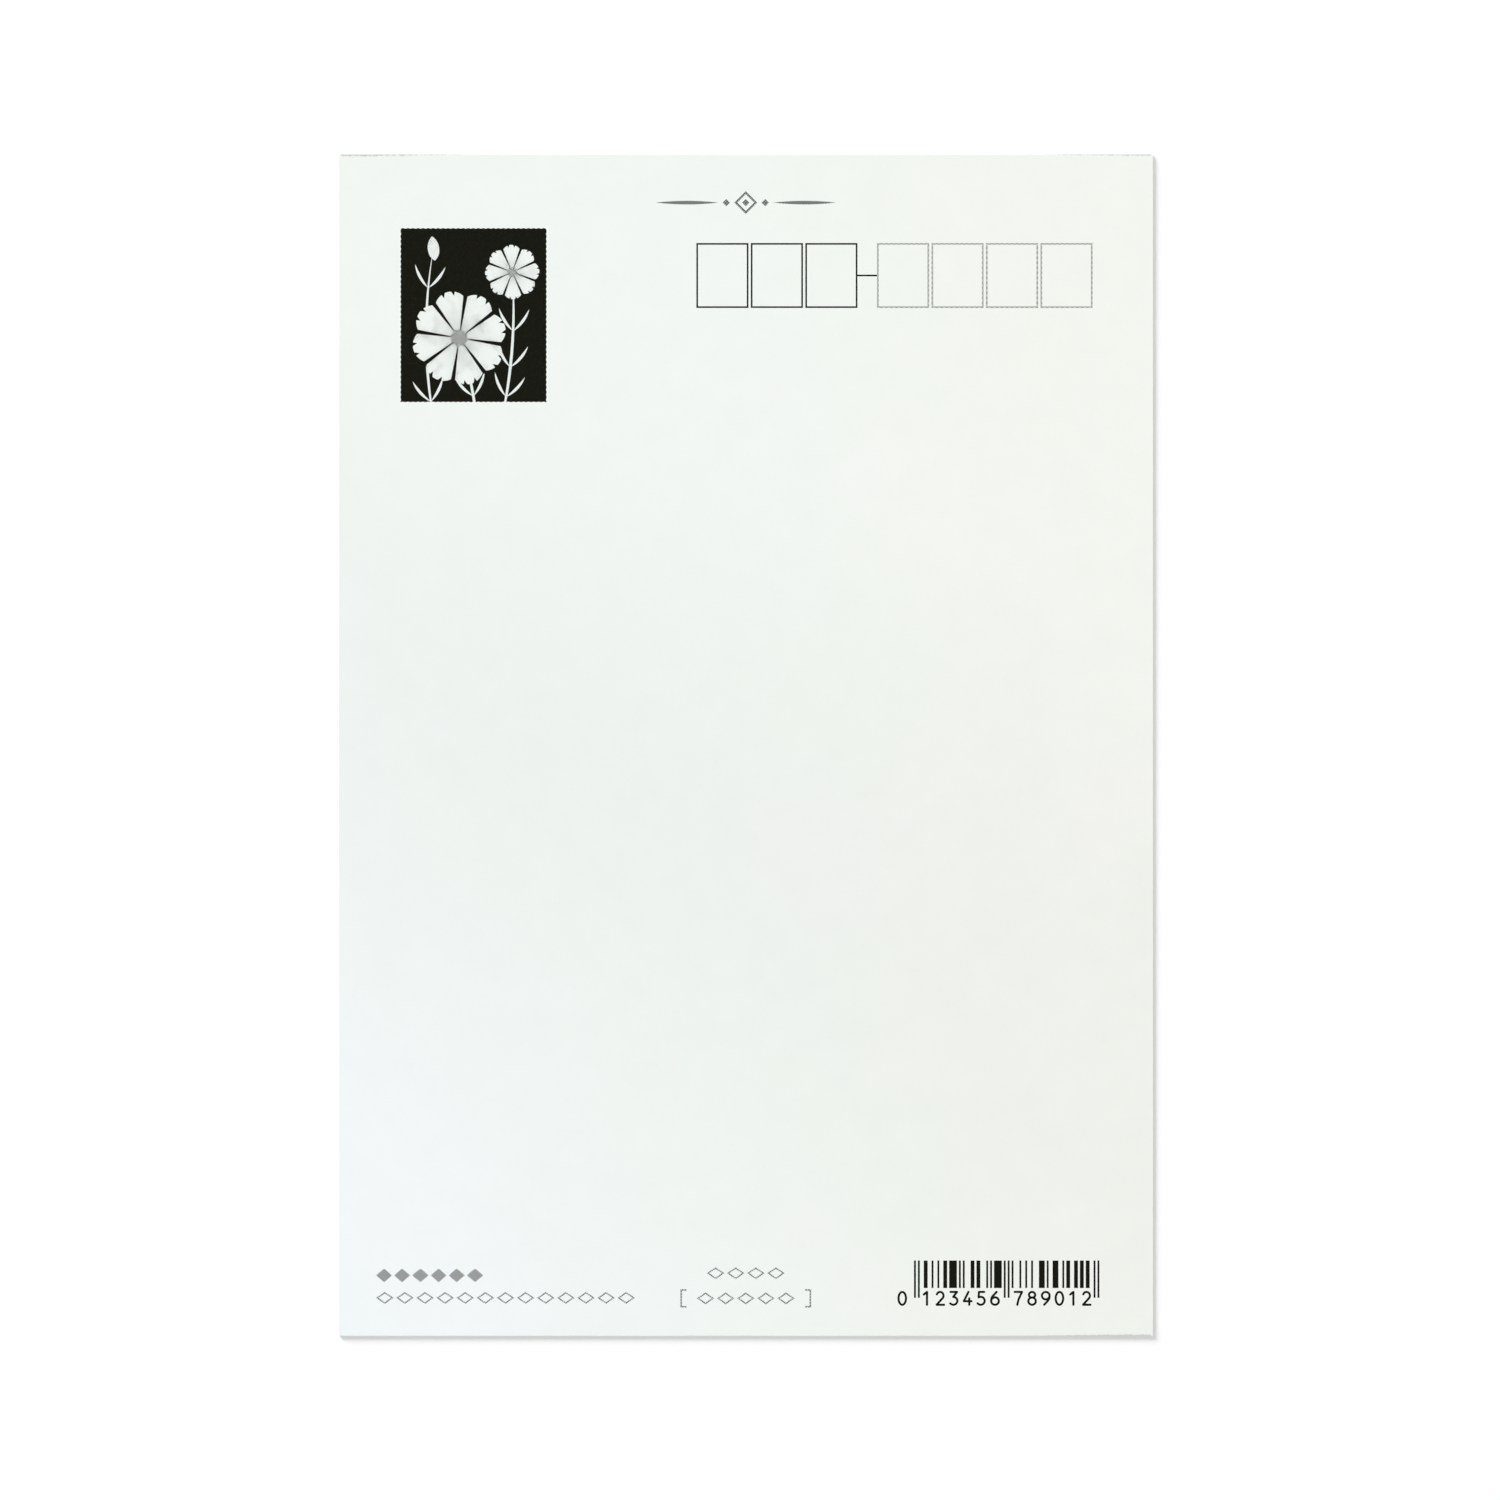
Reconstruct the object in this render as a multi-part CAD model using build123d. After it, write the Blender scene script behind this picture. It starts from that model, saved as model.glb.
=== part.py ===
from build123d import *

import os
from itertools import groupby

# A picture postcard that lies with its address side up. Three bonded paper plies carry a white
# coat on each side, the print lies flush in the coats, and a clear varnish covers the picture.
# X runs across the card, Y towards its top edge and Z up from the middle of the underside.

# Card
card_width = 102.0
card_height = 148.0

# Layers, from the underside up
varnish_thickness = 0.010
picture_ink_thickness = 0.008
picture_coat_thickness = 0.020
back_ply_thickness = 0.055
core_ply_thickness = 0.090
front_ply_thickness = 0.055
coat_under_print = 0.014
print_depth = 0.008

# Flowers of the picture, placed from its centre as the picture is looked at
main_bloom_place = (-10.0, -12.0)
main_bloom_radius = 33.0
main_bloom_turn = 14.0
small_bloom_place = (27.0, 34.0)
small_bloom_radius = 19.0
small_bloom_turn = 2.0
petal_count = 8
bud_foot = (-27.0, 42.0)
bud_tip = (-29.0, 59.0)
bud_width = 8.0
sepal_length = 10.0
sepal_width = 3.0
sepal_turn = 22.0

# A petal and a flower's heart, as shares of the flower's radius: distance out and half width
petal_root = (0.15, 0.052)
petal_shoulder = (0.84, 0.300)
notch_foot = (0.89, 0.110)
notch_half_width = 0.045
heart_share = 0.19
stem_end_share = 0.92

# Stems rise from below the bottom edge, bent through a middle point
stem_width = 1.9
stem_overrun = 14.0
main_stem_foot = 4.0
main_stem_bend = (-1.0, -48.0)
small_stem_foot = 15.0
small_stem_bend = (27.0, -18.0)
bud_stem_foot = -24.0
bud_stem_bend = (-33.0, -18.0)
leaf_length = 19.0
leaf_width = 1.9
leaf_turn = 34.0
leaf_sag = 2.2
main_leaf_places = (0.46,)
small_leaf_places = (0.29, 0.46, 0.665)
bud_leaf_places = (0.23, 0.80)

# Vignette, the picture at a small size on the address side
vignette_width = 18.3
vignette_height = 21.8
vignette_left_margin = 7.75
vignette_top_margin = 9.25
vignette_picture_drop = 0.7

# Heading ornament, centred below the top edge
heading_width = 22.6
heading_height = 2.87
heading_drop = 6.05
heading_stroke = 0.27
heading_swell = 0.46
heading_gap = 0.55
heading_dot = 0.9

# Boxes for the postal code, counted from the left
code_count = 7
code_first_group = 3
code_box_width = 6.53
code_box_height = 8.13
code_line = 0.21
code_box_gap = 0.295
code_link_length = 2.45
code_right_margin = 7.555
code_top_margin = 11.115

# Rows of diamonds along the bottom edge
diamond_width = 2.20
diamond_height = 1.50
diamond_stroke = 0.18
diamond_gap = 0.32
bold_diamond_width = 2.00
bold_diamond_height = 1.70
bold_diamond_gap = 0.28
bold_diamond_count = 6
upper_diamond_count = 4
lower_diamond_count = 5
corner_left_margin = 4.68
corner_bold_rise = 7.57
corner_light_rise = 4.75
corner_to_centre_gap = 5.2
centre_upper_rise = 7.84
centre_lower_rise = 4.69
bracket_height = 2.3
bracket_arm = 0.75
bracket_stroke = 0.2
bracket_gap = 1.3

# Barcode of a sample number that counts upwards, with its first digit implied
barcode_digits = "123456789012"
bar_module = 0.2445
bar_height = 3.45
guard_height = 4.67
barcode_right_margin = 6.7
barcode_top_rise = 9.43

# Levels and edges that follow from the sizes above
picture_ink_level = varnish_thickness
picture_coat_level = picture_ink_level + picture_ink_thickness
back_ply_level = picture_coat_level + picture_coat_thickness
core_ply_level = back_ply_level + back_ply_thickness
front_ply_level = core_ply_level + core_ply_thickness
address_coat_level = front_ply_level + front_ply_thickness
print_level = address_coat_level + coat_under_print
left_edge = -card_width / 2
right_edge = card_width / 2
bottom_edge = -card_height / 2
top_edge = card_height / 2


def layer(outline, level, thickness):
    return extrude(Pos(0, 0, level) * outline, amount=thickness, dir=(0, 0, 1))


# Flower artwork


def petal(radius):
    # A narrow root widens to two shoulders, and two notches part the rounded tip into three teeth
    def at(share, side):
        along, across = share
        return (along * radius, side * across * radius)

    def notch(side):
        foot_along, foot_across = notch_foot
        mouths = [(1, foot_across + notch_half_width), (1, foot_across - notch_half_width)]
        return make_face(Polyline(at(notch_foot, side), at(mouths[0], side), at(mouths[1], side), close=True))

    sides = Polyline(at(petal_shoulder, 1), at(petal_root, 1), at(petal_root, -1), at(petal_shoulder, -1))
    tip = ThreePointArc(at(petal_shoulder, -1), (radius, 0), at(petal_shoulder, 1))
    return make_face(sides.edges() + tip.edges()) - [notch(1), notch(-1)]


def petals(place, radius, turn):
    step = 360 / petal_count
    return [Pos(*place) * Rot(0, 0, turn + step * number) * petal(radius) for number in range(petal_count)]


def blade(foot, middle, tip, width):
    # Two arcs that meet in a point at each end
    side = (Vector(tip) - Vector(foot)).normalized().rotate(Axis.Z, 90) * (width / 2)
    return make_face(
        [
            ThreePointArc(foot, Vector(middle) + side, tip),
            ThreePointArc(tip, Vector(middle) - side, foot),
        ]
    )


def leaf(foot, direction, turn):
    reach = direction.rotate(Axis.Z, turn) * leaf_length
    sag = direction * -leaf_sag
    return blade(foot, foot + reach / 2 + sag, foot + reach, leaf_width)


def stem(foot_x, bend, head, leaf_places):
    foot = Vector(foot_x, bottom_edge - stem_overrun)
    line = ThreePointArc(foot, bend, head)
    leaves = [leaf(line @ place, line % place, turn) for place in leaf_places for turn in (leaf_turn, -leaf_turn)]
    return [blade(foot, bend, head, stem_width)] + leaves


bud_middle = (Vector(bud_foot) + Vector(bud_tip)) / 2
bud_outline = blade(bud_foot, bud_middle, bud_tip, bud_width)


def sepals():
    foot = Vector(bud_foot)
    direction = (Vector(bud_tip) - foot).normalized()
    tips = [foot + direction.rotate(Axis.Z, turn) * sepal_length for turn in (sepal_turn, -sepal_turn)]
    return [blade(foot, (foot + tip) / 2, tip, sepal_width) for tip in tips]


def bloom_discs(share):
    blooms = [(main_bloom_place, main_bloom_radius), (small_bloom_place, small_bloom_radius)]
    return Sketch() + [Pos(*place) * Circle(share * radius) for place, radius in blooms]


hearts = bloom_discs(heart_share)
bloom_petals = Sketch() + (
    petals(main_bloom_place, main_bloom_radius, main_bloom_turn)
    + petals(small_bloom_place, small_bloom_radius, small_bloom_turn)
)
sepal_pair = Sketch() + sepals()
pale_petals = bloom_petals + bud_outline - hearts - sepal_pair
stems_and_leaves = Sketch() + (
    stem(main_stem_foot, main_stem_bend, main_bloom_place, main_leaf_places)
    + stem(small_stem_foot, small_stem_bend, small_bloom_place, small_leaf_places)
    + stem(bud_stem_foot, bud_stem_bend, bud_middle, bud_leaf_places)
)
green_leaves = stems_and_leaves - bloom_discs(stem_end_share) + sepal_pair - pale_petals
flower_films = {"petals": pale_petals, "hearts": hearts, "leaves": green_leaves}


def artwork(panel, fit):
    # The flower films cut to a panel, and the ground that fills the rest of it
    films = {name: fit(film) & panel for name, film in flower_films.items()}
    films["ground"] = panel - list(films.values())
    return films


# Picture side: plies, coats and the full-bleed picture, turned over to face down
card_outline = Rectangle(card_width, card_height)
nodes = {
    "picture_varnish": layer(card_outline, 0, varnish_thickness),
    "picture_coating": layer(card_outline, picture_coat_level, picture_coat_thickness),
    "back_ply": layer(card_outline, back_ply_level, back_ply_thickness),
    "core_ply": layer(card_outline, core_ply_level, core_ply_thickness),
    "front_ply": layer(card_outline, front_ply_level, front_ply_thickness),
}
picture = artwork(card_outline, lambda film: mirror(film, about=Plane.YZ))
for name, film in picture.items():
    nodes["picture_" + name] = layer(film, picture_ink_level, picture_ink_thickness)


# Address side: outlines of the printed films


def vignette():
    panel = Pos(
        left_edge + vignette_left_margin + vignette_width / 2,
        top_edge - vignette_top_margin - vignette_height / 2,
    ) * Rectangle(vignette_width, vignette_height)
    shrink = vignette_width / card_width
    place = Pos(panel.center().X, panel.center().Y - vignette_picture_drop)
    return artwork(panel, lambda film: place * scale(film, by=shrink))


def diamond(width, height):
    return Polygon((width / 2, 0), (0, height / 2), (-width / 2, 0), (0, -height / 2), align=None)


def open_diamond(width, height, stroke):
    outline = diamond(width, height)
    return outline - offset(outline, amount=-stroke, kind=Kind.INTERSECTION)


def heading_ornament():
    # A diamond between two rules that swell towards their middles
    arm_start = heading_height / 2 + heading_gap + heading_dot + heading_gap
    arm_end = heading_width / 2
    arm = blade((arm_start, 0), ((arm_start + arm_end) / 2, 0), (arm_end, 0), heading_swell)
    dot = Pos(heading_height / 2 + heading_gap + heading_dot / 2, 0) * diamond(heading_dot, heading_dot)
    half = [arm, dot]
    pieces = [open_diamond(heading_height, heading_height, heading_stroke), diamond(heading_dot, heading_dot)]
    pieces += half + [Rot(0, 0, 180) * piece for piece in half]
    return Pos(0, top_edge - heading_drop) * (Sketch() + pieces)


def code_box_left(number):
    boxes_to_right = code_count - number
    link_room = code_link_length - code_box_gap if number < code_first_group else 0
    reach = boxes_to_right * code_box_width + (boxes_to_right - 1) * code_box_gap + link_room
    return right_edge - code_right_margin - reach


def code_frame(number):
    outer = Rectangle(code_box_width, code_box_height)
    inner = Rectangle(code_box_width - 2 * code_line, code_box_height - 2 * code_line)
    middle_y = top_edge - code_top_margin - code_box_height / 2
    return Pos(code_box_left(number) + code_box_width / 2, middle_y) * (outer - inner)


def code_link():
    middle_x = code_box_left(code_first_group) - code_link_length / 2
    middle_y = top_edge - code_top_margin - code_box_height / 2
    return Pos(middle_x, middle_y) * Rectangle(code_link_length, code_line)


def row_width(count, width, gap):
    return count * width + (count - 1) * gap


def row(piece, count, width, gap, left, rise):
    places = [Pos(left + width / 2 + number * (width + gap), bottom_edge + rise) for number in range(count)]
    return Sketch() + [place * piece for place in places]


def bracket_pair(half_reach, rise):
    # Two square brackets that face each other
    bar = Pos(half_reach - bracket_arm / 2, 0) * Rectangle(bracket_arm, bracket_height)
    space = Pos(half_reach - bracket_stroke - bracket_arm / 2, 0) * Rectangle(
        bracket_arm, bracket_height - 2 * bracket_stroke
    )
    right_bracket = bar - space
    pair = Sketch() + [right_bracket, Rot(0, 0, 180) * right_bracket]
    return Pos(0, bottom_edge + rise) * pair


def bottom_rows():
    light = open_diamond(diamond_width, diamond_height, diamond_stroke)
    bold = diamond(bold_diamond_width, bold_diamond_height)
    upper_width = row_width(upper_diamond_count, diamond_width, diamond_gap)
    lower_width = row_width(lower_diamond_count, diamond_width, diamond_gap)
    half_reach = lower_width / 2 + bracket_gap + bracket_arm
    corner_left = left_edge + corner_left_margin
    corner_room = -half_reach - corner_to_centre_gap - corner_left
    corner_count = int((corner_room + diamond_gap) / (diamond_width + diamond_gap))
    spacing = (diamond_width, diamond_gap)
    bold_spacing = (bold_diamond_width, bold_diamond_gap)
    lower_row = row(light, lower_diamond_count, *spacing, -lower_width / 2, centre_lower_rise)
    return {
        "corner_row_bold": row(bold, bold_diamond_count, *bold_spacing, corner_left, corner_bold_rise),
        "corner_row_light": row(light, corner_count, *spacing, corner_left, corner_light_rise),
        "centre_row_upper": row(light, upper_diamond_count, *spacing, -upper_width / 2, centre_upper_rise),
        "centre_row_lower": lower_row + bracket_pair(half_reach, centre_lower_rise),
    }


def barcode_modules():
    # One letter for each module from left to right: space, bar, or the longer guard bar
    left_codes = (
        "0001101 0011001 0010011 0111101 0100011 0110001 0101111 0111011 0110111 0001011"
    ).split()
    half = len(barcode_digits) // 2
    left = "".join(left_codes[int(digit)] for digit in barcode_digits[:half])
    right = "".join(left_codes[int(digit)] for digit in barcode_digits[half:])
    bars = str.maketrans("01", "sb")
    opposite_bars = str.maketrans("01", "bs")
    return "gsg" + left.translate(bars) + "sgsgs" + right.translate(opposite_bars) + "gsg"


def barcode_bars():
    modules = barcode_modules()
    start = right_edge - barcode_right_margin - len(modules) * bar_module
    top = bottom_edge + barcode_top_rise
    heights = {"b": bar_height, "g": guard_height}
    bars = Sketch()
    passed = 0
    for kind, run in groupby(modules):
        width = len(list(run)) * bar_module
        if kind in heights:
            bars += Pos(start + passed + width / 2, top - heights[kind] / 2) * Rectangle(width, heights[kind])
        passed += width
    return bars


address_print = {"heading_ornament": heading_ornament(), "code_link": code_link(), "barcode_bars": barcode_bars()}
address_print.update(bottom_rows())
for number in range(code_count):
    address_print[f"code_frame_{number + 1}"] = code_frame(number)
for name, film in vignette().items():
    address_print["vignette_" + name] = film

# Each film fills a pocket of the same outline in the address coat
films = {name: layer(outline, print_level, print_depth) for name, outline in address_print.items()}
address_coat = layer(card_outline, address_coat_level, coat_under_print + print_depth)
nodes["address_coating"] = address_coat - list(films.values())
nodes.update(films)

os.makedirs("parts", exist_ok=True)
for name, node in nodes.items():
    node.label = name
    export_step(node, f"parts/{name}.step")
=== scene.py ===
import math

import bpy
from mathutils import Matrix, Vector


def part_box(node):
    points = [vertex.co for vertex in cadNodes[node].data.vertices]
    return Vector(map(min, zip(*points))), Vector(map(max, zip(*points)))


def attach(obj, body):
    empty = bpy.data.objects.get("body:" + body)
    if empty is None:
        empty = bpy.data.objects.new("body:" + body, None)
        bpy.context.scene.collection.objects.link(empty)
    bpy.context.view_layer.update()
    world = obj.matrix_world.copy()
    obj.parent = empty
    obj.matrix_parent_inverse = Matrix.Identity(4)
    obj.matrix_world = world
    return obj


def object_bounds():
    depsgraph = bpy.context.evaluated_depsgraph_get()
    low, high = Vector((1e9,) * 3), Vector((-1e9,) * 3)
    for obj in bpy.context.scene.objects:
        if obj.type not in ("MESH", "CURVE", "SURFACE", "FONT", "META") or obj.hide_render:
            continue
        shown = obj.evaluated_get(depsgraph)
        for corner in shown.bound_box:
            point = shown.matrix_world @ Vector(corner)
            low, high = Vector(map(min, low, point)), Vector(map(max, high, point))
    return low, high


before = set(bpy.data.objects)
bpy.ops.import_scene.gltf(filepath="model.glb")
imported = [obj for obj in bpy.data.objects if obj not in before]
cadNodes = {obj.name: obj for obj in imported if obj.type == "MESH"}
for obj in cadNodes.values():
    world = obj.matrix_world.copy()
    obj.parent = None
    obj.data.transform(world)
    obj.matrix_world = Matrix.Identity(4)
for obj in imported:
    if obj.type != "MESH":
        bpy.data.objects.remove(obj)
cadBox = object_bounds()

# A picture postcard that lies address side up.
# Lengths in the dictionaries are in millimetres, and the shaders read the card in millimetres too.
# A span runs from where an effect starts to where it is full.
millimetre = 0.001
cardLow, cardHigh = (corner / millimetre for corner in cadBox)
cardHalf = (cardHigh - cardLow) / 2
print("frame loaded:", len(cadNodes), "layers and films")


class NodeDesk:
    # lays nodes into one tree; an input is a socket or a plain value
    def __init__(self, tree):
        self.tree = tree

    def feed(self, socket, value):
        if isinstance(value, bpy.types.NodeSocket):
            self.tree.links.new(value, socket)
        else:
            socket.default_value = value

    def add(self, kind, inputs=None, **settings):
        node = self.tree.nodes.new(kind)
        for name, value in settings.items():
            setattr(node, name, value)
        for name, value in (inputs or {}).items():
            self.feed(node.inputs[name], value)
        return node

    def maths(self, operation, *values):
        node = self.add("ShaderNodeMath", operation=operation)
        for socket, value in zip(node.inputs, values):
            self.feed(socket, value)
        return node.outputs[0]

    def chain(self, operation, values):
        result = values[0]
        for value in values[1:]:
            result = self.maths(operation, result, value)
        return result

    def total(self, *values):
        return self.chain("ADD", values)

    def product(self, *values):
        return self.chain("MULTIPLY", values)

    def vector(self, operation, *values):
        node = self.add("ShaderNodeVectorMath", operation=operation)
        for socket, value in zip(node.inputs, values):
            self.feed(socket, value)
        return node.outputs["Value" if operation == "LENGTH" else "Vector"]

    def scaled(self, vector, factor):
        inputs = {"Vector": vector, "Scale": factor}
        return self.add("ShaderNodeVectorMath", inputs, operation="SCALE").outputs[0]

    def parts(self, vector):
        return self.add("ShaderNodeSeparateXYZ", {"Vector": vector}).outputs

    def joined(self, x, y, z):
        return self.add("ShaderNodeCombineXYZ", {"X": x, "Y": y, "Z": z}).outputs[0]

    def ramp(self, value, low, high, toLow=0.0, toHigh=1.0, smooth=True):
        kind = "SMOOTHSTEP" if smooth else "LINEAR"
        limits = {"Value": value, "From Min": low, "From Max": high, "To Min": toLow, "To Max": toHigh}
        return self.add("ShaderNodeMapRange", limits, interpolation_type=kind).outputs[0]

    def mixed(self, factor, first, second):
        node = self.add("ShaderNodeMix", data_type="RGBA")
        for index, value in ((0, factor), (6, first), (7, second)):     # its sockets for colours
            self.feed(node.inputs[index], value)
        return node.outputs[2]

    def noise(self, place, scale, detail=2.0, roughness=0.5):
        inputs = {"Vector": place, "Scale": scale, "Detail": detail, "Roughness": roughness}
        return self.add("ShaderNodeTexNoise", inputs).outputs[0]

    def swing(self, value, amount):
        # turns a 0 to 1 pattern into a factor around 1
        return self.maths("MULTIPLY_ADD", self.maths("SUBTRACT", value, 0.5), amount, 1.0)

    def place(self):
        # object coordinates in millimetres
        return self.scaled(self.add("ShaderNodeTexCoord").outputs["Object"], 1 / millimetre)

    def use(self, group, **inputs):
        return self.add("ShaderNodeGroup", inputs, node_tree=group).outputs


def shaderGroup(name, inputs, outputs, build):
    tree = bpy.data.node_groups.new(name, "ShaderNodeTree")
    kinds = {"value": "NodeSocketFloat", "colour": "NodeSocketColor", "vector": "NodeSocketVector"}
    for socketName, (kind, value) in inputs.items():
        socket = tree.interface.new_socket(socketName, in_out="INPUT", socket_type=kinds[kind])
        socket.default_value = value
    for socketName, kind in outputs.items():
        tree.interface.new_socket(socketName, in_out="OUTPUT", socket_type=kinds[kind])
    desk = NodeDesk(tree)
    desk.add("NodeGroupOutput", build(desk, desk.add("NodeGroupInput").outputs))
    return tree


# Shared effects

paperGrain = {
    "cloudNoise": (0.21, 3.0, 0.55),     # scale, detail and roughness: soft clouds of about 5 mm
    "fibreStretch": (9.0, 1.7),          # noise per millimetre across a fibre and along it
    "grainScale": 15.0,
    "fleckLattice": 0.062,               # cells of 16 mm
    "fleckRadius": (0.11, 0.04),
    "fleckBare": 0.66,                   # the share of cells without a fleck
    "fibreHeight": 0.6,
    "grainHeight": 0.4,
}


def buildPaperTooth(desk, given):
    place = given["Place"]
    clouds = desk.noise(place, *paperGrain["cloudNoise"])
    across, along = paperGrain["fibreStretch"]
    lengthwise = desk.noise(desk.vector("MULTIPLY", place, (across, along, across)), 1.0)
    crosswise = desk.noise(desk.vector("MULTIPLY", place, (along, across, across)), 1.0)
    fibres = desk.product(desk.total(lengthwise, crosswise), 0.5)
    grain = desk.noise(place, paperGrain["grainScale"])
    lattice = paperGrain["fleckLattice"]
    cells = desk.add("ShaderNodeTexVoronoi", {"Vector": place, "Scale": lattice}).outputs
    dot = desk.ramp(cells["Distance"], *(radius * lattice for radius in paperGrain["fleckRadius"]))
    chosen = desk.maths("GREATER_THAN", desk.parts(cells["Color"])[0], paperGrain["fleckBare"])
    fleck = desk.product(dot, chosen, given["Fleck"])
    shade = desk.product(desk.swing(clouds, given["Clouds"]), desk.swing(fibres, given["Fibres"]))
    shade = desk.maths("SUBTRACT", shade, fleck)
    fine = desk.product(grain, paperGrain["grainHeight"])
    height = desk.maths("MULTIPLY_ADD", fibres, paperGrain["fibreHeight"], fine)
    return {"Color": desk.scaled(given["Tint"], shade), "Height": height, "Grain": grain}


paperTooth = shaderGroup(
    "paperTooth",
    {
        "Place": ("vector", (0, 0, 0)),
        "Tint": ("colour", (0.84, 0.87, 0.83, 1)),
        "Clouds": ("value", 0.02),
        "Fibres": ("value", 0.02),
        "Fleck": ("value", 0.0),
    },
    {"Color": "colour", "Height": "value", "Grain": "value"},
    buildPaperTooth,
)

# How the writing coat's tone drifts, with painted light in it: warm and cool casts of light and a lift
# of light towards the top and the bottom left; a slant is the share of the other axis in a span
coatDriftAndPaintedLight = {
    "plain": (0.814, 0.850, 0.818, 1),
    "warm": {"tint": (0.824, 0.843, 0.795, 1), "span": (-10.0, 48.0)},
    "cool": {"tint": (0.826, 0.860, 0.868, 1), "span": (-15.0, -95.0), "slant": 0.6},
    "upper": {"paintedLightLift": 0.046, "span": (-12.0, 44.0), "slant": 0.25},
    "lower": {"paintedLightLift": 0.036, "span": (-12.0, -90.0), "slant": 0.7},
    "rose": 0.045,
    "roseNoise": (0.032, 3.0),           # scale and detail: clouds of about 30 mm
}


def buildCoatToneAndPaintedLight(desk, given):
    # painted light: a cool cast of light towards the lower left, a warm cast along the right, and a
    # painted lift of light that leaves it palest at two corners
    x, y, z = desk.parts(given["Place"])
    cool, upper, lower = (coatDriftAndPaintedLight[part] for part in ("cool", "upper", "lower"))
    warmed = desk.ramp(x, *coatDriftAndPaintedLight["warm"]["span"])
    cooled = desk.ramp(desk.maths("MULTIPLY_ADD", y, cool["slant"], x), *cool["span"])
    above = desk.ramp(desk.maths("MULTIPLY_ADD", x, upper["slant"], y), *upper["span"])
    below = desk.ramp(desk.maths("MULTIPLY_ADD", x, lower["slant"], y), *lower["span"])
    # painted light: a warm cast along the right and a cool cast towards the lower left
    tone = desk.mixed(warmed, given["Plain"], given["Warm"])
    tone = desk.mixed(cooled, tone, given["Cool"])
    # painted light: lighter towards the top and the bottom left
    light = desk.total(1.0, desk.product(above, upper["paintedLightLift"]), desk.product(below, lower["paintedLightLift"]))
    # a faint drift between rose and green
    rose = desk.swing(desk.noise(given["Place"], *coatDriftAndPaintedLight["roseNoise"]), given["Rose"])
    tone = desk.vector("MULTIPLY", tone, desk.joined(rose, 1.0, rose))
    return {"Color": desk.scaled(tone, light)}


coatToneAndPaintedLight = shaderGroup(
    "coatToneAndPaintedLight",
    {
        "Place": ("vector", (0, 0, 0)),
        "Plain": ("colour", coatDriftAndPaintedLight["plain"]),
        "Warm": ("colour", coatDriftAndPaintedLight["warm"]["tint"]),
        "Cool": ("colour", coatDriftAndPaintedLight["cool"]["tint"]),
        "Rose": ("value", coatDriftAndPaintedLight["rose"]),
    },
    {"Color": "colour"},
    buildCoatToneAndPaintedLight,
)


def buildHalftoneScreen(desk, given):
    # square screen at 45 degrees; the reach of a dot follows from the tone it has to cover
    x, y, z = desk.parts(given["Place"])
    step = desk.product(given["Pitch"], math.sqrt(2))
    u = desk.maths("DIVIDE", desk.maths("ADD", x, y), step)
    v = desk.maths("DIVIDE", desk.maths("SUBTRACT", x, y), step)
    out = desk.total(desk.maths("PINGPONG", u, 0.5), desk.maths("PINGPONG", v, 0.5))
    offset = desk.maths("SUBTRACT", given["Tone"], 0.5)
    corner = desk.maths("SUBTRACT", 0.5, desk.maths("ABSOLUTE", offset))
    root = desk.maths("SQRT", desk.product(corner, 0.5))
    swell = desk.product(desk.maths("SIGN", offset), desk.maths("SUBTRACT", 0.5, root))
    softness = given["Softness"]
    # bare paper at tone 0 and solid ink at tone 1, however soft the dots are
    span = desk.maths("MULTIPLY_ADD", softness, 2.0, 1.0)
    outer = desk.product(desk.maths("ADD", 0.5, swell), span)
    inner = desk.maths("SUBTRACT", outer, desk.product(softness, 2.0))
    dots = desk.ramp(out, inner, outer, 1.0, 0.0)
    return {"Mask": desk.ramp(given["Sharpness"], 0.0, 1.0, given["Tone"], dots, smooth=False)}


# Screens that the inks are printed with; sharpness 0 is an even grey
dotScreens = {
    "line": {"pitch": 0.254, "softness": 0.14, "sharpness": 0.55},
    "tint": {"pitch": 0.254, "softness": 0.14, "sharpness": 0.60},
    "frame": {"pitch": 0.445, "softness": 0.20, "sharpness": 0.26},
    "border": {"pitch": 0.445, "softness": 0.08, "sharpness": 1.0},
    "rosette": {"pitch": 0.145, "softness": 0.35, "sharpness": 1.0},
}
halftoneScreen = shaderGroup(
    "halftoneScreen",
    {
        "Place": ("vector", (0, 0, 0)),
        "Pitch": ("value", dotScreens["line"]["pitch"]),
        "Tone": ("value", 0.5),
        "Softness": ("value", dotScreens["line"]["softness"]),
        "Sharpness": ("value", 1.0),
    },
    {"Mask": "value"},
    buildHalftoneScreen,
)


def screenDots(desk, place, tone, kind):
    sizes = dotScreens[kind]
    return desk.use(
        halftoneScreen,
        Place=place,
        Pitch=sizes["pitch"],
        Tone=tone,
        Softness=sizes["softness"],
        Sharpness=sizes["sharpness"],
    )["Mask"]


inkLay = {
    "broadNoise": (0.9, 3.0),            # scale and detail
    "fineNoise": (11.0, 2.0),
    "pinholes": (0.60, 0.78),            # where the fine noise thins the ink
    "pinholeShow": 0.12,
    "roughnessSwing": 0.16,
}


def buildInkFilm(desk, given):
    # an uneven lay of ink: broad mottle, fine pinholes of thinner ink, and a height for its skin
    broad = desk.noise(given["Place"], *inkLay["broadNoise"])
    fine = desk.noise(given["Place"], *inkLay["fineNoise"])
    thin = desk.product(desk.ramp(fine, *inkLay["pinholes"]), given["Mottle"], inkLay["pinholeShow"])
    colour = desk.scaled(given["Ink"], desk.swing(broad, given["Mottle"]))
    rough = desk.maths("MULTIPLY_ADD", fine, inkLay["roughnessSwing"], given["Roughness"])
    return {
        "Color": desk.mixed(thin, colour, given["Under"]),
        "Roughness": rough,
        "Height": desk.total(fine, broad),
    }


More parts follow.
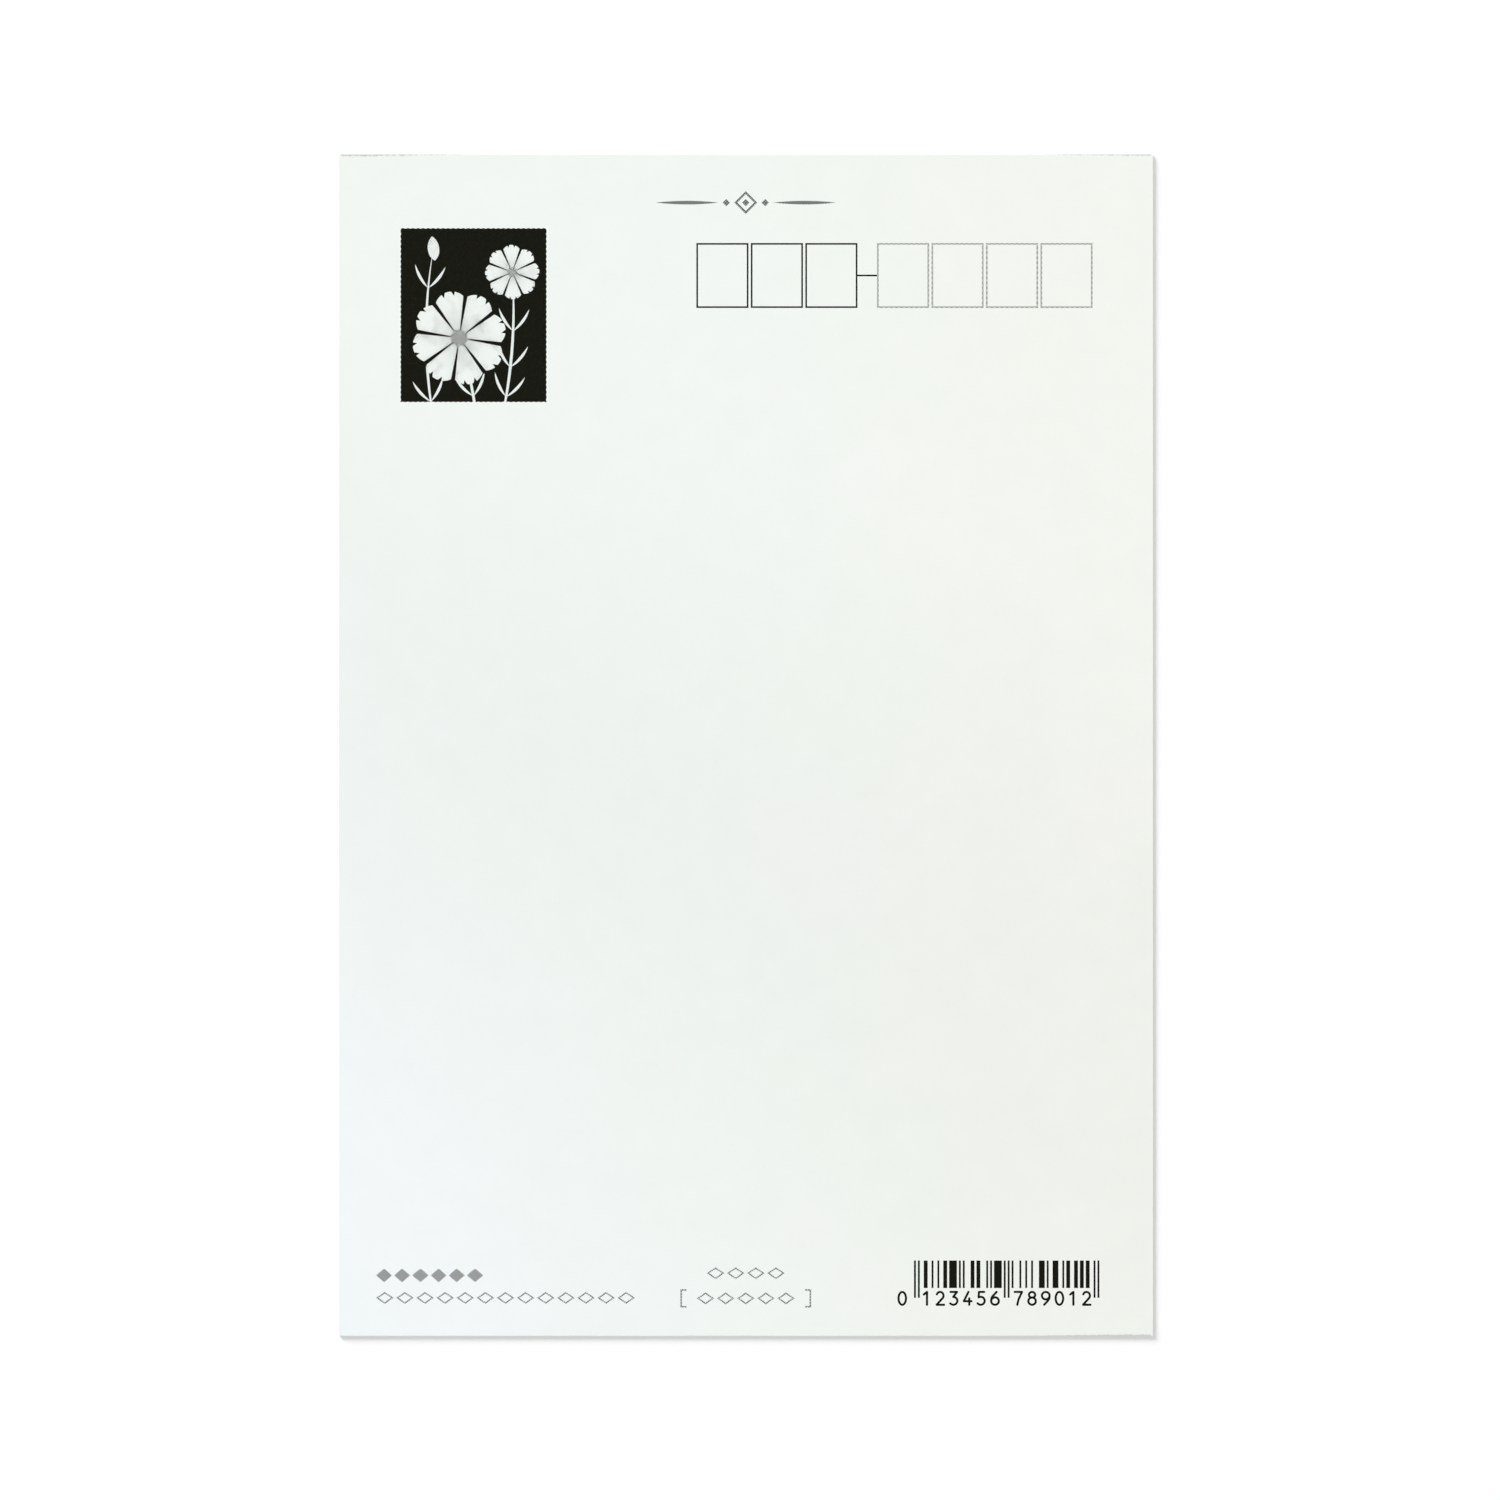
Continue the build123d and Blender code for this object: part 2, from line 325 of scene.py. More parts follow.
inkFilm = shaderGroup(
    "inkFilm",
    {
        "Place": ("vector", (0, 0, 0)),
        "Ink": ("colour", (0.01, 0.01, 0.01, 1)),
        "Under": ("colour", (0.84, 0.87, 0.83, 1)),
        "Mottle": ("value", 0.2),
        "Roughness": ("value", 0.5),
    },
    {"Color": "colour", "Roughness": "value", "Height": "value"},
    buildInkFilm,
)

edgeRubAndShade = {
    "raggedNoise": (2.6, 5.0, 0.7),      # scale, detail and roughness
    "raggedSpan": (0.3, 0.7),
    "raggedReach": (0.3, 1.5),
    "fullShare": 0.15,                   # the share of the reach at full strength: worn through on the picture, fully shaded on the writing coat
    "cornerBlend": 0.35,
}


def buildEdgeWearAndPaintedShade(desk, given):
    # a ragged band along the cut edges, widest at the corners: rubbed wear on the picture, painted
    # shade on the writing coat
    inward = desk.vector("SUBTRACT", tuple(cardHalf), desk.vector("ABSOLUTE", given["Place"]))
    x, y, z = desk.parts(inward)
    corner = desk.ramp(desk.maths("MAXIMUM", x, y), given["Corner"], 0.0)
    torn = desk.noise(given["Place"], *edgeRubAndShade["raggedNoise"])
    ragged = desk.ramp(torn, *edgeRubAndShade["raggedSpan"], *edgeRubAndShade["raggedReach"])
    share = desk.ramp(corner, 0.0, 1.0, given["Along"], 1.0, smooth=False)
    reach = desk.product(share, ragged, given["Reach"])
    wearAndShade = desk.ramp(desk.maths("MINIMUM", x, y), reach, desk.product(reach, edgeRubAndShade["fullShare"]))
    level = desk.ramp(desk.maths("SUBTRACT", x, y), 0.0, edgeRubAndShade["cornerBlend"])
    return {"Wear And Shade": wearAndShade, "Level Edge": level}


edgeWearAndPaintedShade = shaderGroup(
    "edgeWearAndPaintedShade",
    {
        "Place": ("vector", (0, 0, 0)),
        "Reach": ("value", 0.2),
        "Corner": ("value", 12.0),
        "Along": ("value", 0.2),
    },
    {"Wear And Shade": "value", "Level Edge": "value"},
    buildEdgeWearAndPaintedShade,
)

# The flowers as the picture is looked at, from its centre
flower = {
    "petalCount": 8,
    "veinsPerPetal": 14.0,
    "blooms": [
        {"place": (-10.0, -12.0), "radius": 33.0, "turn": 14.0},
        {"place": (27.0, 34.0), "radius": 19.0, "turn": 2.0},
    ],
    "bud": {"place": (-27.0, 42.0), "radius": 17.8, "turn": 96.7},
    "heartShare": 0.19,
}
# Spans out along a petal are shares of its length, spans across it are shares of a petal's turn
petalLook = {
    "reach": 1.03,
    "throat": (0.62, 0.16),
    "throatShade": 0.55,
    "flank": (0.20, 0.46),
    "flankShade": 0.30,
    "rim": (0.80, 1.0),
    "rimShade": 0.14,
    "veinFade": (0.98, 0.30),
    "veinWidth": (0.20, 0.02),
    "waver": 0.07,
    "waverScale": 4.0,                   # to a petal's length
}


def buildPetalShade(desk, given):
    # pleats, veins and the shaded throat of a flower, in polar places about its heart
    x, y, z = desk.parts(desk.vector("SUBTRACT", given["Place"], given["Centre"]))
    flat = desk.joined(x, y, 0.0)
    along = desk.maths("DIVIDE", desk.vector("LENGTH", flat), given["Radius"])
    angle = desk.maths("SUBTRACT", desk.maths("ARCTAN2", y, x), given["Turn"])
    turns = desk.maths("DIVIDE", angle, math.tau / flower["petalCount"])
    across = desk.maths("PINGPONG", turns, 0.5)      # 0 on a petal's middle line, 0.5 between petals
    inside = desk.maths("LESS_THAN", along, petalLook["reach"])
    drift = desk.maths("SUBTRACT", desk.noise(flat, given["Waver"]), 0.5)
    wavy = desk.total(across, desk.product(drift, petalLook["waver"]))
    lines = desk.maths("PINGPONG", desk.product(wavy, flower["veinsPerPetal"]), 0.5)
    fading = desk.ramp(along, *petalLook["veinFade"])
    vein = desk.product(desk.ramp(lines, *petalLook["veinWidth"]), fading)
    shade = desk.total(
        desk.product(desk.ramp(along, *petalLook["throat"]), petalLook["throatShade"]),
        desk.product(desk.ramp(across, *petalLook["flank"]), petalLook["flankShade"]),
        desk.product(desk.ramp(along, *petalLook["rim"]), petalLook["rimShade"]),
    )
    return {"Shade": desk.product(shade, inside), "Vein": desk.product(vein, inside)}


petalShade = shaderGroup(
    "petalShade",
    {
        "Place": ("vector", (0, 0, 0)),
        "Centre": ("vector", (0, 0, 0)),
        "Radius": ("value", 30.0),
        "Turn": ("value", 0.0),
        "Waver": ("value", 0.12),
    },
    {"Shade": "value", "Vein": "value"},
    buildPetalShade,
)


def flowersOn(centre, size, mirrored):
    # the same flowers at another size, or seen from behind
    side = -1 if mirrored else 1
    placed = []
    for one in flower["blooms"] + [flower["bud"]]:
        x, y = one["place"]
        turn = math.radians(180 - one["turn"] if mirrored else one["turn"])
        place = (centre[0] + side * x * size, centre[1] + y * size)
        placed.append({"place": place, "radius": one["radius"] * size, "turn": turn})
    return placed


def shadedFlowers(desk, place, flowers):
    # shade and vein masks of all the flowers together
    shades = []
    veins = []
    for one in flowers:
        found = desk.use(
            petalShade,
            Place=place,
            Centre=(*one["place"], 0.0),
            Radius=one["radius"],
            Turn=one["turn"],
            Waver=petalLook["waverScale"] / one["radius"],
        )
        shades.append(found["Shade"])
        veins.append(found["Vein"])
    return desk.total(*shades), desk.total(*veins)


print("shader groups built:", len(bpy.data.node_groups))


# Finishes; a bump is its strength and its distance

def newFinish(name, specular, roughness=0.6):
    material = bpy.data.materials.new(name)
    material.use_nodes = True
    material.node_tree.nodes.clear()
    desk = NodeDesk(material.node_tree)
    shader = desk.add("ShaderNodeBsdfPrincipled")
    shader.inputs["Specular IOR Level"].default_value = specular
    shader.inputs["Roughness"].default_value = roughness
    desk.add("ShaderNodeOutputMaterial", {"Surface": shader.outputs[0]})
    return material, desk, shader


def cover(desk, shader, colour, height, bump):
    desk.feed(shader.inputs["Base Color"], colour)
    strength, distance = bump
    inputs = {"Height": height, "Strength": strength, "Distance": distance * millimetre}
    desk.feed(shader.inputs["Normal"], desk.add("ShaderNodeBump", inputs).outputs[0])


writingCoat = {
    "clouds": 0.042,
    "fibres": 0.026,
    "fleck": 0.10,
    "roughness": 0.62,
    "roughnessSwing": 0.14,
    "specular": 0.30,
    "bump": (0.35, 0.004),
    # painted shade: a grey line along the cut edges; how far it reaches in at the left and at the
    # right, where it runs, and its tint
    "paintedShadeLeft": 0.42,
    "paintedShadeRight": 0.27,
    "paintedShadeTurn": (-20.0, 20.0),           # from the left reach to the right one
    "paintedShadeBelow": (10.0, 30.0),           # where the bottom edge's painted shade starts
    "paintedShadeCorner": 19.0,
    "paintedShadeAlong": 0.03,
    "paintedShadeTint": (0.54, 0.55, 0.51, 1),
}


def writingPaper(desk, place):
    # the bare writing coat with its painted light, which also shows between the dots of a screened ink
    return desk.use(
        paperTooth,
        Place=place,
        Tint=desk.use(coatToneAndPaintedLight, Place=place)["Color"],
        Clouds=writingCoat["clouds"],
        Fibres=writingCoat["fibres"],
        Fleck=writingCoat["fleck"],
    )


def makeWritingCoat():
    material, desk, shader = newFinish("writingCoat", writingCoat["specular"])
    place = desk.place()
    paper = writingPaper(desk, place)
    x, y, z = desk.parts(place)
    edges = desk.use(
        edgeWearAndPaintedShade,
        Place=place,
        Reach=desk.ramp(x, *writingCoat["paintedShadeTurn"], writingCoat["paintedShadeLeft"], writingCoat["paintedShadeRight"]),
        Corner=writingCoat["paintedShadeCorner"],
        Along=writingCoat["paintedShadeAlong"],
    )
    # painted shade: a grey line along the top edge near both corners and along the bottom edge near the
    # right one
    below = desk.ramp(x, *writingCoat["paintedShadeBelow"])
    shown = desk.maths("MAXIMUM", below, desk.maths("GREATER_THAN", y, 0.0))
    rubbedAndShaded = desk.product(edges["Wear And Shade"], edges["Level Edge"], shown)
    colour = desk.mixed(rubbedAndShaded, paper["Color"], writingCoat["paintedShadeTint"])
    swing = writingCoat["roughnessSwing"]
    rough = desk.maths("MULTIPLY_ADD", paper["Grain"], swing, writingCoat["roughness"] - swing / 2)
    desk.feed(shader.inputs["Roughness"], rough)
    cover(desk, shader, colour, paper["Height"], writingCoat["bump"])
    return material


# The plies' tints are far darker than the coat's: painted shade standing for the shadowed fibres of the
# cut edge, which also keeps edges facing the low key light from going white
plies = {
    "board": {"tint": (0.53, 0.52, 0.47, 1), "clouds": 0.16, "fibres": 0.30},
    "core": {"tint": (0.46, 0.44, 0.39, 1), "clouds": 0.20, "fibres": 0.44},
    "pictureCoat": {"tint": (0.57, 0.57, 0.55, 1), "clouds": 0.03, "fibres": 0.04},
}
cutEdge = {"specular": 0.2, "roughness": 0.8, "flatten": (1.0, 1.0, 22.0), "bump": (0.5, 0.01)}


def makePly(kind):
    # the cut edge shows fibres that lie in the plane of the sheet
    sizes = plies[kind]
    material, desk, shader = newFinish(kind + "Paper", cutEdge["specular"], cutEdge["roughness"])
    paper = desk.use(
        paperTooth,
        Place=desk.vector("MULTIPLY", desk.place(), cutEdge["flatten"]),
        Tint=sizes["tint"],
        Clouds=sizes["clouds"],
        Fibres=sizes["fibres"],
    )
    cover(desk, shader, paper["Color"], paper["Height"], cutEdge["bump"])
    return material


blackInk = {
    "ink": (0.0042, 0.0045, 0.0018, 1),
    "thin": (0.10, 0.09, 0.085, 1),
    "mottle": 0.5,
    "roughness": 0.50,
    "specular": 0.08,
    "bump": (0.25, 0.002),
}


def makeBlackInk():
    material, desk, shader = newFinish("blackInk", blackInk["specular"])
    film = desk.use(
        inkFilm,
        Place=desk.place(),
        Ink=blackInk["ink"],
        Under=blackInk["thin"],
        Mottle=blackInk["mottle"],
        Roughness=blackInk["roughness"],
    )
    desk.feed(shader.inputs["Roughness"], film["Roughness"])
    cover(desk, shader, film["Color"], film["Height"], blackInk["bump"])
    return material


def screenedInk(desk, place, tone, kind, origin=(0.0, 0.0)):
    # black dots of a tone over the bare coat, on rows counted from the origin
    paper = writingPaper(desk, place)
    film = desk.use(inkFilm, Place=place, Ink=blackInk["ink"], Mottle=blackInk["mottle"])
    rows = desk.vector("SUBTRACT", place, (*origin, 0.0))
    colour = desk.mixed(screenDots(desk, rows, tone, kind), paper["Color"], film["Color"])
    return colour, paper["Height"]


greys = {
    "headingGrey": {"tone": 0.76, "screen": "line"},
    "rowGrey": {"tone": 0.64, "screen": "line"},
    "frameGrey": {"tone": 0.53, "screen": "frame"},
}
greyFilm = {"specular": 0.16, "bump": (0.3, 0.003)}


def makeGreyInk(name):
    # in a thin line the rows of dots look like a twisted cord
    material, desk, shader = newFinish(name, greyFilm["specular"])
    colour, height = screenedInk(desk, desk.place(), greys[name]["tone"], greys[name]["screen"])
    cover(desk, shader, colour, height, greyFilm["bump"])
    return material


# The small picture in one colour of ink
vignetteLow, vignetteHigh = (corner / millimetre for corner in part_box("vignette_ground"))
vignetteMiddle = (vignetteLow + vignetteHigh) / 2
vignette = {
    "size": (vignetteHigh.x - vignetteLow.x) / (cardHigh.x - cardLow.x),
    "pictureDrop": 0.7,
    "edgeFade": 0.07,
    "edgeTone": 0.25,
    "edgeBump": (0.2, 0.002),
    "petalTone": 0.02,
    "cloudTone": 0.22,
    "cloudNoise": (0.5, 5.0, 0.6),       # scale, detail and roughness
    "cloudSpan": (0.48, 0.72),
    "shadeTone": 0.30,
    "veinTone": 0.24,
    "leafTone": 0.12,
    "heartTone": 0.46,
    "mottle": 0.7,
    "mottleNoise": (1.6, 4.0),           # scale and detail
    "specular": 0.2,
    "bump": (0.3, 0.003),
}
vignetteFlowers = flowersOn(
    (vignetteMiddle.x, vignetteMiddle.y - vignette["pictureDrop"]), vignette["size"], mirrored=False
)


def makeVignetteGround():
    # solid ink whose border breaks up into the screen's dots
    material, desk, shader = newFinish("vignetteBlack", blackInk["specular"])
    place = desk.place()
    offset = desk.vector("ABSOLUTE", desk.vector("SUBTRACT", place, tuple(vignetteMiddle)))
    x, y, z = desk.parts(offset)
    half = (vignetteHigh - vignetteLow) / 2
    margin = desk.maths("MINIMUM", desk.maths("SUBTRACT", half.x, x), desk.maths("SUBTRACT", half.y, y))
    tone = desk.ramp(margin, 0.0, vignette["edgeFade"], vignette["edgeTone"], 1.0, smooth=False)
    colour, height = screenedInk(desk, place, tone, "border", (vignetteLow.x, vignetteLow.y))
    cover(desk, shader, colour, height, vignette["edgeBump"])
    return material


def vignettePetalTone(desk, place):
    shade, vein = shadedFlowers(desk, place, vignetteFlowers)
    clouds = desk.ramp(desk.noise(place, *vignette["cloudNoise"]), *vignette["cloudSpan"])
    return desk.total(
        vignette["petalTone"],
        desk.product(clouds, vignette["cloudTone"]),
        desk.product(shade, vignette["shadeTone"]),
        desk.product(vein, vignette["veinTone"]),
    )


def makeVignetteTint(name, kind):
    material, desk, shader = newFinish(name, vignette["specular"])
    place = desk.place()
    tone = vignettePetalTone(desk, place) if kind == "petal" else vignette[kind + "Tone"]
    mottle = desk.noise(place, *vignette["mottleNoise"])
    tone = desk.product(tone, desk.swing(mottle, vignette["mottle"]))
    colour, height = screenedInk(desk, place, tone, "tint")
    cover(desk, shader, colour, height, vignette["bump"])
    return material


# The full-bleed picture, printed in four inks under gloss varnish
pictureInks = {
    "ground": {
        "ink": (0.010, 0.022, 0.045, 1),
        "low": (0.020, 0.050, 0.062, 1),
        "washNoise": (0.035, 4.0, 0.6),  # scale, detail and roughness
        "washReach": 60.0,
        "fade": (85.0, -60.0),
        "dots": 0.10,
    },
    "petals": {
        "ink": (0.86, 0.78, 0.63, 1),
        "throat": (0.66, 0.40, 0.17, 1),
        "throatShow": 0.8,
        "vein": (0.55, 0.40, 0.24, 1),
        "veinShow": 0.5,
        "washNoise": (0.16, 3.0),
        "wash": 0.5,
        "dots": 0.05,
    },
    "hearts": {
        "ink": (0.62, 0.33, 0.04, 1),
        "rim": (0.36, 0.14, 0.02, 1),
        "rimSpan": (0.45, 1.0),          # shares of the heart's radius
        "reach": 1.1,
        "dots": 0.08,
    },
    "leaves": {
        "ink": (0.19, 0.30, 0.17, 1),
        "low": (0.07, 0.15, 0.09, 1),
        "washNoise": (0.12, 3.0),
        "washReach": 50.0,
        "fade": (60.0, -50.0),
        "streakStretch": (1.6, 0.16, 1.0),
        "streaks": 0.9,
        "dots": 0.08,
    },
}
pictureFlowers = flowersOn((0.0, 0.0), 1.0, mirrored=True)
gloss = {
    "specular": 0.10,
    "roughness": 0.24,
    "coat": 0.35,
    "coatRoughness": 0.09,
    "mottle": 0.10,
    "bump": (0.12, 0.002),
}
pictureWear = {"reach": 0.34, "corner": 8.0, "along": 0.22, "paper": (0.80, 0.80, 0.78, 1)}


def glossFinish(name):
    material, desk, shader = newFinish(name, gloss["specular"])
    shader.inputs["Coat Weight"].default_value = gloss["coat"]
    shader.inputs["Coat Roughness"].default_value = gloss["coatRoughness"]
    return material, desk, shader


def finishPicture(desk, shader, place, colour, dotAmount):
    # the lay of the ink, the fine dots of the process inks, and paper where the edges are rubbed
    film = desk.use(
        inkFilm,
        Place=place,
        Ink=colour,
        Under=pictureWear["paper"],
        Mottle=gloss["mottle"],
        Roughness=gloss["roughness"],
    )
    dots = screenDots(desk, place, 0.5, "rosette")
    dotted = desk.scaled(film["Color"], desk.swing(dots, dotAmount))
    rubbedAndShaded = desk.use(
        edgeWearAndPaintedShade,
        Place=place,
        Reach=pictureWear["reach"],
        Corner=pictureWear["corner"],
        Along=pictureWear["along"],
    )["Wear And Shade"]
    desk.feed(shader.inputs["Roughness"], film["Roughness"])
    colour = desk.mixed(rubbedAndShaded, dotted, pictureWear["paper"])
    cover(desk, shader, colour, film["Height"], gloss["bump"])


def fadedInk(desk, place, inks):
    # an ink that turns to its low colour down the picture, along a wavering line
    x, y, z = desk.parts(place)
    wash = desk.noise(place, *inks["washNoise"])
    level = desk.ramp(desk.maths("MULTIPLY_ADD", wash, inks["washReach"], y), *inks["fade"])
    return desk.mixed(level, inks["ink"], inks["low"])


def makePictureGround():
    inks = pictureInks["ground"]
    material, desk, shader = glossFinish("nightGround")
    place = desk.place()
    finishPicture(desk, shader, place, fadedInk(desk, place, inks), inks["dots"])
    return material


def makePicturePetals():
    inks = pictureInks["petals"]
    material, desk, shader = glossFinish("ivoryPetals")
    place = desk.place()
    shade, vein = shadedFlowers(desk, place, pictureFlowers)
    wash = desk.swing(desk.noise(place, *inks["washNoise"]), inks["wash"])
    colour = desk.mixed(desk.product(wash, inks["throatShow"], shade), inks["ink"], inks["throat"])
    colour = desk.mixed(desk.product(vein, inks["veinShow"]), colour, inks["vein"])
    finishPicture(desk, shader, place, colour, inks["dots"])
    return material


def makePictureHearts():
    inks = pictureInks["hearts"]
    material, desk, shader = glossFinish("goldenHearts")
    place = desk.place()
    x, y, z = desk.parts(place)
    rims = []
    for one in pictureFlowers[:len(flower["blooms"])]:
        centre = (*one["place"], 0.0)
        out = desk.vector("LENGTH", desk.vector("SUBTRACT", desk.joined(x, y, 0.0), centre))
        heart = one["radius"] * flower["heartShare"]
        near = desk.maths("LESS_THAN", out, heart * inks["reach"])
        rims.append(desk.product(desk.ramp(out, *(heart * share for share in inks["rimSpan"])), near))
    colour = desk.mixed(desk.total(*rims), inks["ink"], inks["rim"])
    finishPicture(desk, shader, place, colour, inks["dots"])
    return material


def makePictureLeaves():
    inks = pictureInks["leaves"]
    material, desk, shader = glossFinish("greenLeaves")
    place = desk.place()
    streaks = desk.noise(desk.vector("MULTIPLY", place, inks["streakStretch"]), 1.0)
    colour = desk.scaled(fadedInk(desk, place, inks), desk.swing(streaks, inks["streaks"]))
    finishPicture(desk, shader, place, colour, inks["dots"])
    return material


varnish = {
    "alpha": 0.08,
    "specular": 0.5,
    "tint": (0.060, 0.062, 0.058),
    "tintScale": 0.1,
    "tintSwing": 0.4,
    "rippleScale": 0.8,
    "roughness": 0.06,
    "roughnessSwing": 0.06,
    "bump": (0.10, 0.004),
}


def makeVarnish():
    # clear gloss over the picture; the inks' own coat carries most of the shine
    material, desk, shader = newFinish("clearVarnish", varnish["specular"])
    shader.inputs["Alpha"].default_value = varnish["alpha"]
    place = desk.place()
    ripple = desk.noise(place, varnish["rippleScale"])
    drift = desk.noise(place, varnish["tintScale"])
    tint = desk.scaled(varnish["tint"], desk.swing(drift, varnish["tintSwing"]))
    rough = desk.maths("MULTIPLY_ADD", ripple, varnish["roughnessSwing"], varnish["roughness"])
    desk.feed(shader.inputs["Roughness"], rough)
    cover(desk, shader, tint, ripple, varnish["bump"])
    return material


boardPaper = makePly("board")
frameGrey = makeGreyInk("frameGrey")
rowGrey = makeGreyInk("rowGrey")
blackFilm = makeBlackInk()
finishes = {
    "address_coating": makeWritingCoat(),
    "front_ply": boardPaper,
    "core_ply": makePly("core"),
    "back_ply": boardPaper,
    "picture_coating": makePly("pictureCoat"),
    "picture_varnish": makeVarnish(),
    "picture_ground": makePictureGround(),
    "picture_petals": makePicturePetals(),
    "picture_hearts": makePictureHearts(),
    "picture_leaves": makePictureLeaves(),
    "heading_ornament": makeGreyInk("headingGrey"),
    "vignette_ground": makeVignetteGround(),
    "vignette_petals": makeVignetteTint("vignettePale", "petal"),
    "vignette_hearts": makeVignetteTint("vignetteHeart", "heart"),
    "vignette_leaves": makeVignetteTint("vignetteLeaf", "leaf"),
    "code_link": blackFilm,
    "barcode_bars": blackFilm,
    "corner_row_bold": rowGrey,
    "corner_row_light": rowGrey,
    "centre_row_upper": rowGrey,
    "centre_row_lower": rowGrey,
}
codeFrames = {"count": 7, "black": 3}
for number in range(codeFrames["count"]):
    finishes["code_frame_" + str(number + 1)] = blackFilm if number < codeFrames["black"] else frameGrey
for nodeName, finish in finishes.items():
    for materialSlot in cadNodes[nodeName].material_slots:
        materialSlot.material = finish
print("finishes given to", len(finishes), "layers and films")


# Pieces that Geometry Nodes make

def geometryTree(name, inputs):
    tree = bpy.data.node_groups.new(name, "GeometryNodeTree")
    tree.interface.new_socket("Geometry", in_out="INPUT", socket_type="NodeSocketGeometry")
    tree.interface.new_socket("Geometry", in_out="OUTPUT", socket_type="NodeSocketGeometry")
    for socketName, kind in inputs.items():
        tree.interface.new_socket(socketName, in_out="INPUT", socket_type="NodeSocket" + kind)
    return tree, NodeDesk(tree)


def endTree(desk, geometry, ink):
    real = desk.add("GeometryNodeRealizeInstances", {"Geometry": geometry}).outputs[0]
    painted = desk.add("GeometryNodeSetMaterial", {"Geometry": real, "Material": ink}).outputs[0]
    desk.add("NodeGroupOutput", {"Geometry": painted})


def grown(name, data, tree, values):
    # runs a tree on one object and keeps the result as a plain mesh
    source = bpy.data.objects.new(name + "Source", data)
    bpy.context.scene.collection.objects.link(source)
    modifier = source.modifiers.new("Grow", "NODES")
    modifier.node_group = tree
    for item in tree.interface.items_tree:
        if item.in_out == "INPUT" and item.name in values:
            modifier[item.identifier] = values[item.name]
    bpy.context.view_layer.update()
    evaluated = source.evaluated_get(bpy.context.evaluated_depsgraph_get())
    mesh = bpy.data.meshes.new_from_object(evaluated)
    source.modifiers.remove(modifier)
    bpy.data.objects.remove(source)
    mesh.name = name
    piece = bpy.data.objects.new(name, mesh)
    bpy.context.scene.collection.objects.link(piece)
    return piece


def keep(piece):
    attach(piece, "root")
    print("made", piece.name, "with", len(piece.data.polygons), "faces")


# Florets of the flowers' hearts; spread and fill are shares of the heart and of the room for one
florets = {
    "picture": {"count": (230, 120), "spread": 0.93, "fill": 0.36, "slot": "golden_ink"},
    "vignette": {"count": (34, 16), "spread": 0.88, "fill": 0.34, "slot": "black_ink"},
    "film": 0.0012,
    "segments": 8,
    "rings": 4,
    "growth": (0.70, 1.15),              # size at the middle and at the rim
    "pale": (0.78, 0.47, 0.07, 1),
    "deep": (0.48, 0.20, 0.02, 1),
    "toneScale": 1.4,
    "toneSpan": (0.35, 0.65),
    "dots": 0.05,
}


def floretTree():
    # small domes on a sunflower spiral, a little larger towards the rim
    sizes = {"Disc Radius": "Float", "Floret Radius": "Float", "Film": "Float", "Count": "Int"}
    tree, desk = geometryTree("floretSpiral", {"Centre": "Vector", **sizes, "Ink": "Material"})
    given = desk.add("NodeGroupInput").outputs
    index = desk.add("GeometryNodeInputIndex").outputs[0]
    share = desk.maths("SQRT", desk.maths("DIVIDE", desk.maths("ADD", index, 0.5), given["Count"]))
    angle = desk.product(index, math.pi * (3 - math.sqrt(5)))
    out = desk.product(share, given["Disc Radius"])
    across = desk.product(out, desk.maths("COSINE", angle))
    up = desk.product(out, desk.maths("SINE", angle))
    spot = desk.vector("ADD", desk.joined(across, up, 0.0), given["Centre"])
    points = desk.add("GeometryNodePoints", {"Count": given["Count"], "Position": spot}).outputs[0]
    shape = {"Segments": florets["segments"], "Rings": florets["rings"], "Radius": 1.0}
    dome = desk.add("GeometryNodeMeshUVSphere", shape).outputs[0]
    growth = desk.ramp(share, 0.0, 1.0, *florets["growth"], smooth=False)
    width = desk.product(given["Floret Radius"], growth)
    placed = desk.add(
        "GeometryNodeInstanceOnPoints",
        {"Points": points, "Instance": dome, "Scale": desk.joined(width, width, given["Film"])},
    ).outputs[0]
    endTree(desk, placed, given["Ink"])
    return tree


floretSpiral = floretTree()


def makeFlorets(kind, flowers, level, ink):
    sizes = florets[kind]
    for number, (one, count) in enumerate(zip(flowers, sizes["count"])):
        disc = one["radius"] * flower["heartShare"] * sizes["spread"]
        spacing = disc * math.sqrt(math.pi / count)
        piece = grown(
            kind + "_florets_" + str(number + 1),
            bpy.data.meshes.new(kind + "FloretSeed"),
            floretSpiral,
            {
                "Centre": Vector((*one["place"], level)) * millimetre,
                "Disc Radius": disc * millimetre,
                "Floret Radius": spacing * sizes["fill"] * millimetre,
                "Film": florets["film"] * millimetre,
                "Count": count,
                "Ink": ink,
            },
        )
        keep(piece)


def makeFloretInk():
    material, desk, shader = glossFinish("amberFlorets")
    place = desk.place()
    tone = desk.ramp(desk.noise(place, florets["toneScale"]), *florets["toneSpan"])
    colour = desk.mixed(tone, florets["pale"], florets["deep"])
    finishPicture(desk, shader, place, colour, florets["dots"])
    return material


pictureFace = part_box("picture_hearts")[0].z / millimetre
addressFace = cardHigh.z
makeFlorets("picture", pictureFlowers, pictureFace, makeFloretInk())
makeFlorets("vignette", vignetteFlowers, addressFace, blackFilm)

# A shallow bead of ink along a path, rounded at its ends
bead = {"sides": 10, "capSegments": 12, "capRings": 6}


